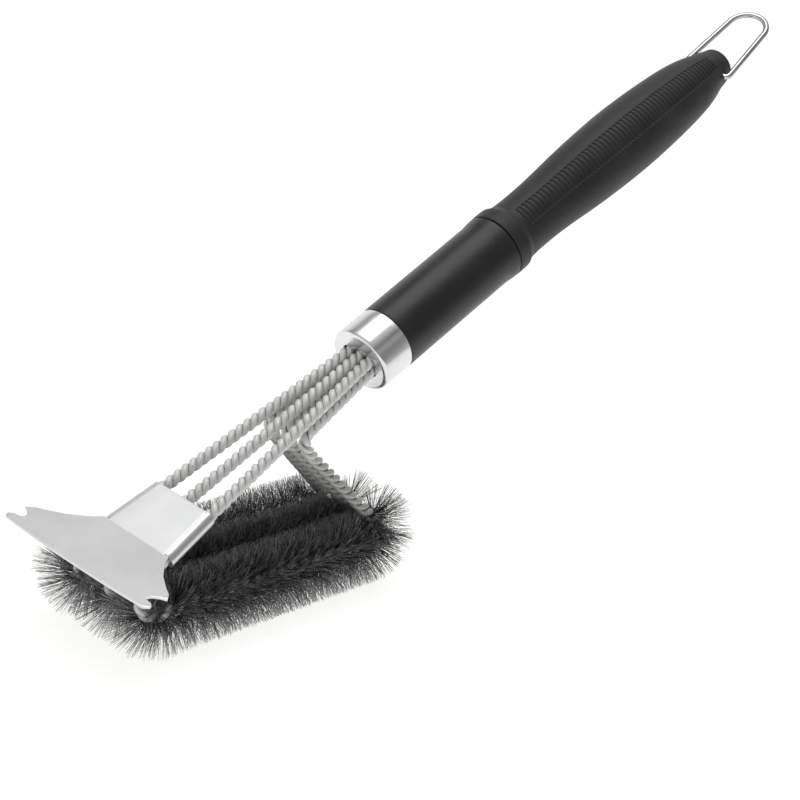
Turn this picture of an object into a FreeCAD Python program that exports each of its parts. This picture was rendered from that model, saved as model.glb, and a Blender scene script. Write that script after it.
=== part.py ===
"""Grill cleaning brush with three twisted-wire brush rows, a bent scraper blade and a long handle.

Frame: millimetres, +Z up. The origin is the middle of the flat that the brush rows rest on.
The rows run along X, the scraper points to -X and the handle rises towards +X. The handle's own
frame starts at the middle of the ferrule's front face, with x back along the handle.
"""
import FreeCAD, Part
import Sketcher
import math
import os
from FreeCAD import Placement, Rotation, Vector

DIMENSIONS = (
    # handle, measured back from the ferrule's front face
    ("tube_diameter", 33.0, "outer diameter of ferrule and front sleeve"),
    ("ferrule_length", 18.0, "length of the steel ferrule"),
    ("ferrule_wall", 0.9, "sheet thickness of the ferrule"),
    ("ferrule_rounding", 2.0, "outer radius of the ferrule's front rim"),
    ("sleeve_wall", 1.4, "wall of the sleeve where it passes inside the ferrule"),
    ("seam_position", 97.0, "joint between the sleeve and the grip"),
    ("flare_length", 6.0, "length over which the sleeve flares to the grip's collar"),
    ("collar_radius", 17.1, "radius of the collar on both sides of the joint"),
    ("collar_length", 7.5, "length of the collar on the grip"),
    ("shoulder_length", 4.0, "length of the slope from the collar down to the neck"),
    ("shoulder_radius", 15.4, "radius at the foot of that slope"),
    ("spigot_length", 14.0, "how far the grip reaches into the sleeve"),
    ("pivot_position", 269.0, "hanging loop's pivot"),
    ("pivot_hole", 3.0, "diameter of the hole that the loop turns in"),
    ("tail_half", 10.9, "half width of the tail between its flats"),
    ("flat_start", 256.0, "where the slopes that lead to the flats start"),
    ("flat_start_half", 14.6, "half width of those slopes there"),
    ("flat_full", 266.0, "where the flats start"),
    ("flat_end", 290.0, "beyond the end of the tail"),
    ("pivot_drop", 1.2, "how far the pivot sits under the handle's axis"),
    # parts inside the handle
    ("anchor_length", 36.0, "length of the plug that grips the wire ends"),
    ("anchor_neck", 20.0, "length of the plug's neck inside the core tube"),
    ("core_diameter", 20.0, "outer diameter of the core tube"),
    ("core_wall", 1.0, "wall of the core tube"),
    ("core_end", 215.0, "back end of the core tube"),
    ("bore_clearance", 0.05, "gap round a part seated in a bore"),
    # twisted wires
    ("rope_diameter", 6.0, "diameter over the two twisted strands"),
    ("slot_clearance", 0.3, "gap round the wires in the ferrule's slots"),
    ("rope_spacing", 6.05, "distance between neighbouring wires in the ferrule"),
    ("wire_end", 34.0, "depth of the wire ends behind the ferrule's face"),
    ("row_pitch", 18.8, "distance between brush rows"),
    ("core_height", 16.7, "height of each row's core over the resting flat"),
    ("head_tilt", 28.3, "angle between the handle and the brush rows"),
    ("front_bend_radius", 12.0, "bend at the front of each row"),
    ("rear_bend_radius", 6.0, "bend at the back of each row"),
    ("knee_radius", 4.0, "bend where the rear leg turns down from the handle"),
    ("shin_radius", 15.0, "slight bend below the knee"),
    # brush rows
    ("bristle_radius", 17.5, "length of the bristles from the core"),
    ("row_front", -86.0, "front end of the straight part of a row"),
    ("row_rear", 81.0, "back end of the straight part of a row"),
    ("row_gap", 0.2, "gap between neighbouring rows"),
    # scraper, measured forwards from the ferrule's front face
    ("scraper_rear", 114.0, "back edge of the scraper's clamp"),
    ("clamp_length", 28.6, "length of the clamp along the wires"),
    ("sheet_thickness", 0.9, "thickness of the scraper's sheet"),
    ("clamp_rear_span", 14.4, "outer wire from the middle, at the clamp's back edge"),
    ("clamp_front_span", 17.2, "outer wire from the middle, at the clamp's front edge"),
    ("clamp_height", 3.4, "height of the wires over the handle's axis in the clamp"),
    ("clamp_lip", 4.6, "width of the lip folded under each outer wire"),
    ("blade_bend", 24.4, "upward bend of the blade from the clamp"),
    ("bend_overlap", 0.4, "how far the blade's root runs back into the clamp's sheet"),
    ("blade_length", 38.3, "bend line to the cutting edge, in the middle"),
    ("edge_setback", 1.9, "how far the edge falls back at its ends"),
    ("edge_half", 42.0, "half the width of the cutting edge"),
    ("prong_half", 43.6, "half the width over the prongs"),
    ("blade_root_half", 19.8, "half the blade's width at the bend line"),
    ("side_radius", 54.0, "radius of the blade's hollow side edges"),
    ("side_length", 20.9, "bend line to the end of the hollow side edge"),
    ("side_half", 41.1, "middle to the end of the hollow side edge"),
    ("rear_prong", 24.4, "bend line to the rear prong's tip"),
    ("notch_near", 28.0, "bend line to the near side of the notch"),
    ("notch_far", 31.0, "bend line to the far side of the notch"),
    ("front_prong", 34.6, "bend line to the front prong's tip"),
    ("notch_half", 38.2, "notch bottom from the middle"),
    # hanging loop
    ("loop_wire", 2.9, "diameter of the loop's wire"),
    ("loop_half", 12.9, "half the distance between the loop's legs at the pivot"),
    ("loop_bow_half", 9.9, "the same at the loop's far end, where the legs would meet the bow"),
    ("loop_reach", 44.9, "pivot to the loop's far end, on the wire's centre"),
    ("loop_bow_radius", 10.4, "radius of the bow"),
    ("loop_corner", 2.0, "bend where each leg turns into the pivot hole"),
    ("loop_pin_inner", 4.5, "gap between the middle and each pin's end"),
    ("loop_swing", 8.0, "angle of the loop over the handle's axis at rest"),
)

# The grip's outline behind its shoulder: position, radius, and how far the centre drops.
GRIP_STATIONS = (
    ("neck_front", 108.5, 15.4, 0.0),
    ("neck", 122.0, 15.0, 0.0),
    ("swell_front", 144.0, 15.9, 0.2),
    ("swell_rise", 168.0, 17.5, 0.6),
    ("swell", 194.0, 18.3, 1.0),
    ("swell_fall", 220.0, 17.7, 1.6),
    ("taper", 244.0, 16.0, 2.2),
    ("taper_end", 260.0, 13.6, 2.9),
    ("hinge_boss", 269.5, 11.1, 3.3),
    ("tail", 279.0, 8.6, 3.8),
)
TAIL_ROUNDING = 2.5

# The rear leg's corners, in the handle's frame: x, distance from the row's middle plane, z.
KNEE = (-50.5, 4.4, -3.0)
SHIN = (-49.0, 5.4, -13.0)
STRAIGHT = 1e-4  # radians: a corner that turns less than this needs no bend
REAR_CORNER_OVERSHOOT = 9.8  # the back corner of a row lies this far behind its straight part

doc = FreeCAD.newDocument("grill_brush")
sheet = doc.addObject("Spreadsheet::Sheet", "Dims")


def fill_sheet():
    """Writes the driving dimensions and the grip's stations as aliased cells."""
    rows = list(DIMENSIONS)
    for name, position, radius, drop in GRIP_STATIONS:
        rows.append((f"{name}_at", position, "grip station"))
        rows.append((f"{name}_radius", radius, "grip radius there"))
        rows.append((f"{name}_drop", drop, "how far the centre drops there"))
    for number, (alias, value, note) in enumerate(rows, 1):
        sheet.set(f"A{number}", note)
        sheet.set(f"B{number}", str(value))
        sheet.setAlias(f"B{number}", alias)
    doc.recompute()


def dim(alias):
    """The value of one cell."""
    return float(getattr(sheet, alias))


def value_of(expression):
    """The number that a sheet expression gives now."""
    return float(sheet.evalExpression(expression))


def bind(target, **expressions):
    """Binds properties of an object to sheet expressions."""
    for name, expression in expressions.items():
        target.setExpression(name.replace("__", "."), expression)
    return target


# ---------------------------------------------------------------- frames

def handle_placement(x=0.0, z=0.0, pitch=0.0):
    """Placement of a piece given in the handle's frame, moved to x, z and pitched up there."""
    tilt = dim("head_tilt")
    turn = Rotation(Vector(0, 1, 0), -tilt)
    return Placement(handle_origin() + turn.multVec(Vector(x, 0, z)),
                     Rotation(Vector(0, 1, 0), -tilt - pitch))


def handle_origin():
    """The middle of the ferrule's front face: it makes the wires reach the rows as they bend."""
    return Vector(57.1, 0, 90.4 + dim("core_height"))


def from_handle(x, y, z):
    """A point of the handle's frame, in the part's frame."""
    return handle_placement().multVec(Vector(x, y, z))


# ---------------------------------------------------------------- sketch helpers

def new_body(label):
    body = doc.addObject("PartDesign::Body", label)
    body.Label = label
    return body


def new_sketch(body, role, name, offset=0.0):
    """A sketch on one of the body's own origin planes, moved along the plane's normal."""
    sketch = body.newObject("Sketcher::SketchObject", name)
    plane = next(f for f in body.Origin.OriginFeatures if f.Role == role)
    sketch.AttachmentSupport = [(plane, "")]
    sketch.MapMode = "FlatFace"
    sketch.AttachmentOffset = Placement(Vector(0, 0, offset), Rotation())
    return sketch


def bound_constraint(sketch, expression, *arguments):
    """Adds one dimension to a sketch and binds it to the sheet."""
    index = sketch.addConstraint(Sketcher.Constraint(*arguments, value_of(expression)))
    sketch.setExpression(f"Constraints[{index}]", expression)


def fix_point(sketch, geometry, which, x, y):
    """Binds both coordinates of one point of a sketch."""
    bound_constraint(sketch, x, "DistanceX", -1, 1, geometry, which)
    bound_constraint(sketch, y, "DistanceY", -1, 1, geometry, which)


def draw_outline(sketch, points, hollow_spans=None):
    """A closed outline through points given as sheet expressions.

    hollow_spans maps the number of a span to its arc's radius; the arc bends to the left of
    the direction of travel.
    """
    hollow_spans = hollow_spans or {}
    places = [Vector(value_of(x), value_of(y), 0) for x, y in points]
    count = len(points)
    ends = []
    for i in range(count):
        start, end = places[i], places[(i + 1) % count]
        if i in hollow_spans:
            ends.append(add_left_arc(sketch, start, end, hollow_spans[i]))
        else:
            line = sketch.addGeometry(Part.LineSegment(start, end))
            ends.append((line, 1, 2))
    for i in range(count):
        geometry, first, last = ends[i]
        following, following_first, _ = ends[(i + 1) % count]
        sketch.addConstraint(
            Sketcher.Constraint("Coincident", geometry, last, following, following_first))
        fix_point(sketch, geometry, first, *points[i])


def add_left_arc(sketch, start, end, radius_expression):
    """An arc from start to end that bends left; returns it with its first and last point."""
    radius = value_of(radius_expression)
    chord = end - start
    left = Vector(-chord.y, chord.x, 0).normalize()
    centre = (start + end) * 0.5 - left * math.sqrt(radius ** 2 - (chord.Length / 2) ** 2)
    from_end = math.atan2(end.y - centre.y, end.x - centre.x)
    to_start = math.atan2(start.y - centre.y, start.x - centre.x)
    circle = Part.Circle(centre, Vector(0, 0, 1), radius)
    index = sketch.addGeometry(Part.ArcOfCircle(circle, from_end, to_start))
    bound_constraint(sketch, radius_expression, "Radius", index)
    return (index, 2, 1)


def revolve(body, name, points):
    """A solid of revolution about the body's X axis, from an outline in its XZ plane."""
    sketch = new_sketch(body, "XZ_Plane", f"{name}_outline")
    draw_outline(sketch, points)
    feature = body.newObject("PartDesign::Revolution", name)
    feature.Profile = sketch
    feature.ReferenceAxis = (sketch, ["H_Axis"])
    feature.Angle = 360
    doc.recompute()
    return feature


def through_hole(body, name, role, x, y, diameter):
    """A round hole right through the body, along the normal of one origin plane."""
    sketch = new_sketch(body, role, f"{name}_circle")
    circle = sketch.addGeometry(
        Part.Circle(Vector(value_of(x), value_of(y), 0), Vector(0, 0, 1), value_of(diameter) / 2))
    fix_point(sketch, circle, 3, x, y)
    bound_constraint(sketch, diameter, "Diameter", circle)
    return cut_through(body, name, sketch)


def cut_through(body, name, sketch):
    """Cuts a sketch's outline right through the body, both ways."""
    pocket = body.newObject("PartDesign::Pocket", name)
    pocket.Profile = sketch
    pocket.Type = "ThroughAll"
    pocket.Midplane = True
    doc.recompute()
    return pocket


# ---------------------------------------------------------------- handle

def make_ferrule():
    """Drawn steel cap over the sleeve's front end, with three slots for the six wires."""
    body = new_body("ferrule")
    outer = "Dims.tube_diameter / 2"
    inner = "Dims.tube_diameter / 2 - Dims.ferrule_wall"
    cap = revolve(body, "cap", [
        ("0", "0"), ("0", outer), ("Dims.ferrule_length", outer),
        ("Dims.ferrule_length", inner), ("Dims.ferrule_wall", inner), ("Dims.ferrule_wall", "0"),
    ])
    radius = dim("tube_diameter") / 2
    rim = [f"Edge{i}" for i, edge in enumerate(cap.Shape.Edges, 1)
           if isinstance(edge.Curve, Part.Circle) and abs(edge.Curve.Radius - radius) < 1e-6
           and abs(edge.Curve.Center.x) < 1e-6]
    fillet = body.newObject("PartDesign::Fillet", "rounded_rim")
    fillet.Base = (cap, rim)
    bind(fillet, Radius="Dims.ferrule_rounding")
    doc.recompute()
    slot = wire_slot(body)
    slots = body.newObject("PartDesign::LinearPattern", "slots")
    slots.Originals = [slot]
    slots.Direction = (slot.Profile[0], ["H_Axis"])
    slots.Occurrences = 3
    bind(slots, Length="2 * Dims.rope_spacing")
    body.Tip = slots
    body.Placement = handle_placement()


def wire_slot(body):
    """Upright slot for one pair of wires, at the left of the ferrule's face."""
    sketch = new_sketch(body, "YZ_Plane", "slot_outline")
    half = dim("rope_spacing") / 2
    radius = dim("rope_diameter") / 2 + dim("slot_clearance")
    y = -dim("rope_spacing")
    up, right = Vector(0, 0, 1), Vector(radius, 0, 0)
    top, bottom = Vector(y, half, 0), Vector(y, -half, 0)
    cap = sketch.addGeometry(Part.ArcOfCircle(Part.Circle(top, up, radius), 0, math.pi))
    cup = sketch.addGeometry(
        Part.ArcOfCircle(Part.Circle(bottom, up, radius), math.pi, 2 * math.pi))
    left_side = sketch.addGeometry(Part.LineSegment(top - right, bottom - right))
    right_side = sketch.addGeometry(Part.LineSegment(bottom + right, top + right))
    for first, first_end, second, second_end in (
            (cap, 2, left_side, 1), (left_side, 2, cup, 1),
            (cup, 2, right_side, 1), (right_side, 2, cap, 1)):
        sketch.addConstraint(
            Sketcher.Constraint("Tangent", first, first_end, second, second_end))
    fix_point(sketch, cap, 3, "-Dims.rope_spacing", "Dims.rope_spacing / 2")
    bound_constraint(sketch, "-Dims.rope_spacing / 2", "DistanceY", -1, 1, cup, 3)
    bound_constraint(sketch, "Dims.rope_diameter / 2 + Dims.slot_clearance", "Radius", cap)
    return cut_through(body, "slot", sketch)


def make_front_sleeve():
    """Plastic tube between the ferrule and the grip, stepped down inside the ferrule."""
    body = new_body("front_sleeve")
    outer = "Dims.tube_diameter / 2"
    seat = "Dims.tube_diameter / 2 - Dims.ferrule_wall - Dims.bore_clearance"
    bore = f"{seat} - Dims.sleeve_wall"
    front = "Dims.ferrule_wall + Dims.ferrule_rounding"
    revolve(body, "tube", [
        (front, bore), (front, seat), ("Dims.ferrule_length", seat),
        ("Dims.ferrule_length", outer), ("Dims.seam_position - Dims.flare_length", outer),
        ("Dims.seam_position", "Dims.collar_radius"), ("Dims.seam_position", bore),
    ])
    body.Placement = handle_placement()


def make_wire_anchor():
    """Plug inside the sleeve with a socket for the six wire ends and a neck for the core tube."""
    body = new_body("wire_anchor")
    seat = ("Dims.tube_diameter / 2 - Dims.ferrule_wall - Dims.sleeve_wall"
            " - 2 * Dims.bore_clearance")
    neck = "Dims.core_diameter / 2 - Dims.core_wall - Dims.bore_clearance"
    front = "Dims.ferrule_wall + Dims.ferrule_rounding"
    back = f"{front} + Dims.anchor_length"
    revolve(body, "plug", [
        (front, "0"), (front, seat), (back, seat), (back, neck),
        (f"{back} + Dims.anchor_neck", neck), (f"{back} + Dims.anchor_neck", "0"),
    ])
    sketch = new_sketch(body, "YZ_Plane", "wire_socket_outline")
    half_width = "(Dims.rope_spacing + Dims.rope_diameter / 2 + Dims.bore_clearance)"
    half_height = "(Dims.rope_spacing / 2 + Dims.rope_diameter / 2 + Dims.bore_clearance)"
    draw_outline(sketch, [
        (half_width, half_height), (f"-{half_width}", half_height),
        (f"-{half_width}", f"-{half_height}"), (half_width, f"-{half_height}"),
    ])
    socket = body.newObject("PartDesign::Pocket", "wire_socket")
    socket.Profile = sketch
    socket.Type = "Length"
    socket.Reversed = True
    bind(socket, Length="Dims.wire_end + Dims.bore_clearance")
    doc.recompute()
    body.Placement = handle_placement()


def make_core_tube():
    """Steel tube that carries the bending load from the plug back into the grip."""
    body = new_body("core_tube")
    outer = "Dims.core_diameter / 2"
    inner = "Dims.core_diameter / 2 - Dims.core_wall"
    front = "Dims.ferrule_wall + Dims.ferrule_rounding + Dims.anchor_length + Dims.bore_clearance"
    revolve(body, "tube", [
        (front, inner), (front, outer), ("Dims.core_end", outer), ("Dims.core_end", inner),
    ])
    body.Placement = handle_placement()


def make_grip():
    """Moulded grip: collar, lofted body with a dropped tail, bore for the tube, pivot hole."""
    body = new_body("grip")
    spigot = ("Dims.tube_diameter / 2 - Dims.ferrule_wall - Dims.sleeve_wall"
              " - 2 * Dims.bore_clearance")
    shoulder_start = "Dims.seam_position + Dims.collar_length"
    revolve(body, "collar", [
        ("Dims.seam_position - Dims.spigot_length", "0"),
        ("Dims.seam_position - Dims.spigot_length", spigot),
        ("Dims.seam_position", spigot), ("Dims.seam_position", "Dims.collar_radius"),
        (shoulder_start, "Dims.collar_radius"),
        (f"{shoulder_start} + Dims.shoulder_length", "Dims.shoulder_radius"),
        (f"{shoulder_start} + Dims.shoulder_length", "0"),
    ])
    sections = [grip_section(body, station[0]) for station in GRIP_STATIONS]
    loft = body.newObject("PartDesign::AdditiveLoft", "palm")
    loft.Profile = sections[0]
    loft.Sections = sections[1:]
    loft.Ruled = False
    doc.recompute()
    round_tail(body, loft)
    bore = revolve_cut(body, "tube_bore", [
        ("Dims.seam_position - Dims.spigot_length - 1", "0"),
        ("Dims.seam_position - Dims.spigot_length - 1",
         "Dims.core_diameter / 2 + Dims.bore_clearance"),
        ("Dims.core_end + Dims.bore_clearance", "Dims.core_diameter / 2 + Dims.bore_clearance"),
        ("Dims.core_end + Dims.bore_clearance", "0"),
    ])
    body.Tip = bore
    body.Tip = flatten_tail(body)
    body.Tip = through_hole(body, "pivot_hole", "XZ_Plane", "Dims.pivot_position",
                            "-Dims.pivot_drop", "Dims.pivot_hole")
    body.Placement = handle_placement()


def grip_section(body, name):
    """One round section of the grip."""
    sketch = new_sketch(body, "YZ_Plane", f"{name}_section", dim(f"{name}_at"))
    bind(sketch, AttachmentOffset__Base__z=f"Dims.{name}_at")
    circle = sketch.addGeometry(Part.Circle(
        Vector(0, -dim(f"{name}_drop"), 0), Vector(0, 0, 1), dim(f"{name}_radius")))
    fix_point(sketch, circle, 3, "0", f"-Dims.{name}_drop")
    bound_constraint(sketch, f"Dims.{name}_radius", "Radius", circle)
    return sketch


def round_tail(body, loft):
    """Rounds the edge of the grip's end face."""
    end = dim("tail_at")
    edges = [f"Edge{i}" for i, edge in enumerate(loft.Shape.Edges, 1)
             if abs(edge.BoundBox.XMin - end) < 1e-3 and abs(edge.BoundBox.XMax - end) < 1e-3]
    fillet = body.newObject("PartDesign::Fillet", "rounded_tail")
    fillet.Base = (loft, edges)
    fillet.Radius = TAIL_ROUNDING
    doc.recompute()


def flatten_tail(body):
    """Flats on both sides of the tail, so that the loop's legs swing clear of it."""
    sketch = new_sketch(body, "XY_Plane", "tail_flats_outline")
    for sign in ("", "-"):
        draw_outline(sketch, [
            ("Dims.flat_start", f"{sign}Dims.flat_start_half"),
            ("Dims.flat_full", f"{sign}Dims.tail_half"),
            ("Dims.flat_end", f"{sign}Dims.tail_half"),
            ("Dims.flat_end", f"{sign}2 * Dims.tail_half"),
            ("Dims.flat_start", f"{sign}2 * Dims.tail_half"),
        ])
    return cut_through(body, "tail_flats", sketch)


def revolve_cut(body, name, points):
    """A groove about the body's X axis."""
    sketch = new_sketch(body, "XZ_Plane", f"{name}_outline")
    draw_outline(sketch, points)
    groove = body.newObject("PartDesign::Groove", name)
    groove.Profile = sketch
    groove.ReferenceAxis = (sketch, ["H_Axis"])
    groove.Angle = 360
    doc.recompute()
    return groove


# ---------------------------------------------------------------- twisted wires

def rounded_path(corners):
    """A wire of straight runs joined by tangent arcs, from (point, radius) pairs."""
    points = [point for point, _ in corners]
    edges = []
    start = points[0]
    for i in range(1, len(corners) - 1):
        corner, radius = corners[i]
        back = (start - corner).normalize()
        ahead = (points[i + 1] - corner).normalize()
        half_angle = back.getAngle(ahead) / 2
        if math.pi / 2 - half_angle < STRAIGHT:
            continue
        reach = radius / math.tan(half_angle)
        middle = (back + ahead).normalize()
        centre = corner + middle * (radius / math.sin(half_angle))
        entry, leave = corner + back * reach, corner + ahead * reach
        edges.append(Part.LineSegment(start, entry).toShape())
        edges.append(Part.Arc(entry, centre - middle * radius, leave).toShape())
        start = leave
    edges.append(Part.LineSegment(start, points[-1]).toShape())
    return Part.Wire(edges)


def wire_corners(side):
    """Corner points of one wire's centre line: ferrule, front bend, row, rear leg, ferrule."""
    spacing = dim("rope_spacing")
    pitch = dim("row_pitch")
    core_height = dim("core_height")
    upper = spacing / 2
    clamp_x = -dim("scraper_rear")
    clamp_front_x = clamp_x - dim("clamp_length")
    clamp_point = from_handle(clamp_x, side * dim("clamp_rear_span"), dim("clamp_height"))
    clamp_front = from_handle(clamp_front_x, side * dim("clamp_front_span"), dim("clamp_height"))
    ahead = clamp_front - clamp_point
    to_core = (core_height - clamp_front.z) / ahead.z
    front_corner = clamp_front + ahead * to_core
    front_corner.y = side * (pitch + 1.2)
    rear_corner = Vector(dim("row_rear") + REAR_CORNER_OVERSHOOT, side * pitch, core_height)
    return [
        (from_handle(dim("wire_end"), side * spacing, upper), 0),
        (from_handle(0, side * spacing, upper), 60.0),
        (clamp_point, 150.0),
        (front_corner, dim("front_bend_radius")),
        (rear_corner, dim("rear_bend_radius")),
        (from_handle(SHIN[0], side * (spacing + SHIN[1]), SHIN[2]), dim("shin_radius")),
        (from_handle(KNEE[0], side * (spacing + KNEE[1]), KNEE[2]), dim("knee_radius")),
        (from_handle(0, side * spacing, -upper), 60.0),
        (from_handle(dim("wire_end"), side * spacing, -upper), 0),
    ]


def round_wire(name, path, heading, diameter):
    """A round wire along a path whose first point lies at the start of the heading."""
    start = path.OrderedVertexes[0].Point
    disc = Part.Face(Part.Wire(Part.Circle(start, heading, diameter / 2).toShape()))
    rope = path.makePipe(disc)
    feature = doc.addObject("Part::Feature", name)
    feature.Label = name
    feature.Shape = rope
    section = math.pi * (diameter / 2) ** 2
    print(f"{name}: length {path.Length:.1f} mm, volume {rope.Volume:.0f} mm3,"
          f" section times length {section * path.Length:.0f} mm3")
    return feature


def make_wire(name, side):
    """One twisted wire as a round rope along its rounded centre line."""
    corners = wire_corners(side)
    heading = corners[1][0] - corners[0][0]
    return round_wire(name, rounded_path(corners), heading, dim("rope_diameter"))


def make_hanging_loop():
    """Bent wire loop whose two inturned ends are the pins it turns on."""
    pin_end, pivot = Vector(0, dim("loop_pin_inner"), 0), Vector(0, dim("loop_half"), 0)
    bow = Vector(dim("loop_reach"), dim("loop_bow_half"), 0)
    near_side = [(pin_end, 0), (pivot, dim("loop_corner")), (bow, dim("loop_bow_radius"))]
    far_side = [(Vector(point.x, -point.y, 0), radius) for point, radius in near_side[::-1]]
    loop = round_wire("hanging_loop", rounded_path(near_side + far_side), pivot - pin_end,
                      dim("loop_wire"))
    loop.Placement = handle_placement(dim("pivot_position"), -dim("pivot_drop"),
                                      dim("loop_swing"))


# ---------------------------------------------------------------- brush rows

def make_row(name, side, wire):
    """The bristles of one row: a rounded bar round the wire, flat where it rests."""
    span = doc.addObject("Part::Cylinder", f"{name}_span")
    bind(span, Radius="Dims.bristle_radius", Height="Dims.row_rear - Dims.row_front")
    span.Placement = Placement(Vector(dim("row_front"), side * dim("row_pitch"),
                                      dim("core_height")), Rotation(Vector(0, 1, 0), 90))
    ends = []
    for end in ("row_front", "row_rear"):
        dome = doc.addObject("Part::Sphere", f"{name}_{end}_dome")
        bind(dome, Radius="Dims.bristle_radius")
        dome.Placement = Placement(
            Vector(dim(end), side * dim("row_pitch"), dim("core_height")), Rotation())
        ends.append(dome)
    bar = doc.addObject("Part::MultiFuse", f"{name}_bar")
    bar.Shapes = [span] + ends
    bar.Refine = True
    slab = doc.addObject("Part::Box", f"{name}_slab")
    bind(slab, Length="Dims.row_rear - Dims.row_front + 4 * Dims.bristle_radius",
         Height="Dims.core_height + 2 * Dims.bristle_radius")
    inner = dim("row_pitch") / 2 + dim("row_gap") / 2
    if side == 0:
        bind(slab, Width="Dims.row_pitch - Dims.row_gap")
        y_start = dim("row_gap") / 2 - dim("row_pitch") / 2
    else:
        bind(slab, Width="Dims.row_pitch / 2 - Dims.row_gap / 2 + 2 * Dims.bristle_radius")
        doc.recompute()
        y_start = inner if side > 0 else -inner - slab.Width.Value
    slab.Placement = Placement(
        Vector(dim("row_front") - 2 * dim("bristle_radius"), y_start, 0), Rotation())
    trimmed = doc.addObject("Part::MultiCommon", f"{name}_trimmed")
    trimmed.Shapes = [bar, slab]
    row = doc.addObject("Part::Cut", name)
    row.Label = name
    row.Base = trimmed
    row.Tool = wire
    doc.recompute()


# ---------------------------------------------------------------- scraper

def stadium(body, name, offset, half_span, radius):
    """A sketch across the handle: two half-rounds about the outer wires, joined by flats."""
    sketch = new_sketch(body, "YZ_Plane", name)
    bind(sketch, AttachmentOffset__Base__z=offset)
    span, size, height = value_of(half_span), value_of(radius), dim("clamp_height")
    up = Vector(0, 0, 1)
    right = sketch.addGeometry(Part.ArcOfCircle(
        Part.Circle(Vector(span, height, 0), up, size), -math.pi / 2, math.pi / 2))
    left = sketch.addGeometry(Part.ArcOfCircle(
        Part.Circle(Vector(-span, height, 0), up, size), math.pi / 2, 3 * math.pi / 2))
    top = sketch.addGeometry(
        Part.LineSegment(Vector(span, height + size, 0), Vector(-span, height + size, 0)))
    base = sketch.addGeometry(
        Part.LineSegment(Vector(-span, height - size, 0), Vector(span, height - size, 0)))
    for first, first_end, second, second_end in (
            (right, 2, top, 1), (top, 2, left, 1), (left, 2, base, 1), (base, 2, right, 1)):
        sketch.addConstraint(
            Sketcher.Constraint("Tangent", first, first_end, second, second_end))
    fix_point(sketch, right, 3, half_span, "Dims.clamp_height")
    bound_constraint(sketch, f"-({half_span})", "DistanceX", -1, 1, left, 3)
    bound_constraint(sketch, radius, "Radius", right)
    return sketch


def make_scraper():
    """One bent sheet: a clamp folded round the three wires and a blade bent up from its front."""
    body = new_body("scraper")
    rear, front = "-Dims.scraper_rear", "-(Dims.scraper_rear + Dims.clamp_length)"
    rear_span, front_span = "Dims.clamp_rear_span", "Dims.clamp_front_span"
    inner = "Dims.rope_diameter / 2 + Dims.bore_clearance"
    outer = f"{inner} + Dims.sheet_thickness"
    for kind, name, radius in (("PartDesign::AdditiveLoft", "folded_sheet", outer),
                               ("PartDesign::SubtractiveLoft", "wire_space", inner)):
        first = stadium(body, f"{name}_rear", rear, rear_span, radius)
        last = stadium(body, f"{name}_front", front, front_span, radius)
        loft = body.newObject(kind, name)
        loft.Profile = first
        loft.Sections = [last]
        loft.Ruled = True
        doc.recompute()
    open_underside(body, rear, front, rear_span, front_span)
    add_blade(body)
    body.Placement = handle_placement()


def open_underside(body, rear, front, rear_span, front_span):
    """Leaves only a lip of the sheet under each outer wire."""
    sketch = new_sketch(body, "XY_Plane", "underside_outline")
    rear_y = f"({rear_span} + Dims.rope_diameter / 2 - Dims.clamp_lip)"
    front_y = f"({front_span} + Dims.rope_diameter / 2 - Dims.clamp_lip)"
    draw_outline(sketch, [
        (f"{rear} + 1", f"-{rear_y}"), (f"{rear} + 1", rear_y),
        (f"{front} - 1", front_y), (f"{front} - 1", f"-{front_y}"),
    ])
    pocket = body.newObject("PartDesign::Pocket", "underside")
    pocket.Profile = sketch
    pocket.Type = "Length"
    bind(pocket, Length="Dims.rope_diameter + Dims.sheet_thickness")
    sketch.AttachmentOffset = Placement(Vector(0, 0, dim("clamp_height")), Rotation())
    doc.recompute()


def add_blade(body):
    """The flared blade with a notch and two prongs at each end of its cutting edge."""
    sketch = new_sketch(body, "XY_Plane", "blade_outline")
    top = dim("clamp_height") + value_of(
        "Dims.rope_diameter / 2 + Dims.bore_clearance + Dims.sheet_thickness")
    bend = Rotation(Vector(0, 1, 0), dim("blade_bend"))
    sketch.AttachmentOffset = Placement(
        Vector(-dim("scraper_rear") - dim("clamp_length"), 0, top), bend)
    half = [
        ("Dims.bend_overlap", "Dims.blade_root_half"), ("0", "Dims.blade_root_half"),
        ("-Dims.side_length", "Dims.side_half"),
        ("-Dims.rear_prong", "Dims.prong_half"),
        ("-Dims.notch_near", "Dims.notch_half"), ("-Dims.notch_far", "Dims.notch_half"),
        ("-Dims.front_prong", "Dims.prong_half"),
        ("-(Dims.blade_length - Dims.edge_setback)", "Dims.edge_half"),
        ("-Dims.blade_length", "Dims.edge_half / 3"),
    ]
    mirrored = [(x, f"-({y})") for x, y in reversed(half)]
    last = len(half) + len(mirrored) - 3
    draw_outline(sketch, half + mirrored, {1: "Dims.side_radius", last: "Dims.side_radius"})
    pad = body.newObject("PartDesign::Pad", "blade")
    pad.Profile = sketch
    pad.Reversed = True
    bind(pad, Length="Dims.sheet_thickness")
    doc.recompute()


# ---------------------------------------------------------------- build, check and write

def node_objects():
    """The objects whose Labels are the part's nodes."""
    names = ["ferrule", "front_sleeve", "wire_anchor", "core_tube", "grip", "hanging_loop",
             "scraper"]
    names += [f"{kind}_{row}" for kind in ("wire", "bristles") for row in ROWS]
    return [doc.getObjectsByLabel(name)[0] for name in names]


def check_all(nodes):
    """Stops if any object failed or any node's shape isn't one valid solid."""
    failed = [o.Label for o in doc.Objects if {"Invalid", "Error"} & set(o.State)]
    if failed:
        raise RuntimeError(f"these objects failed: {failed}")
    for node in nodes:
        shape = node.Shape
        if shape.isNull() or not shape.isValid() or len(shape.Solids) != 1:
            raise RuntimeError(f"{node.Label} is not one valid solid: {len(shape.Solids)}")


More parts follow.
